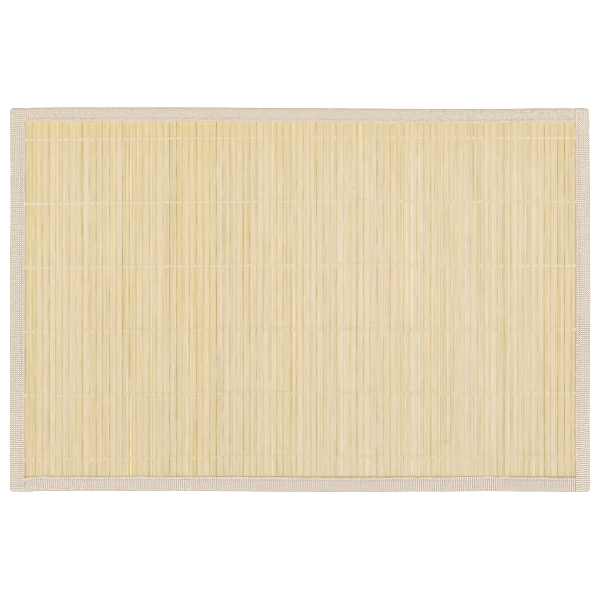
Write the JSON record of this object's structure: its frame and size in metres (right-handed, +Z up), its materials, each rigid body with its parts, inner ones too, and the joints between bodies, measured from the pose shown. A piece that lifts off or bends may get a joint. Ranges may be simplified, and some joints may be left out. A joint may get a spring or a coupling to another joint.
{
  "type": "bamboo placemat",
  "caption": "Flat oblong table mat of narrow bamboo slats held side by side by thread, with a woven tape folded over each edge.",
  "frame": {"origin": "middle of the mat's underside, on the surface it lies on", "axes": "+X along the mat's long side, +Y along the slats towards the back edge, +Z up"},
  "size_m": [0.4508, 0.299, 0.0055],
  "materials": {
    "bamboo": "satin",
    "tape": "matte",
    "thread": "matte"
  },
  "bodies": {
    "root": {"slat_panel": "bamboo", "tape_left": "tape", "tape_right": "tape", "tape_front": "tape", "tape_back": "tape", "thread_row_1": "thread", "thread_row_2": "thread", "thread_row_3": "thread", "thread_row_4": "thread", "thread_row_5": "thread", "thread_row_6": "thread"}
  },
  "joints": []
}
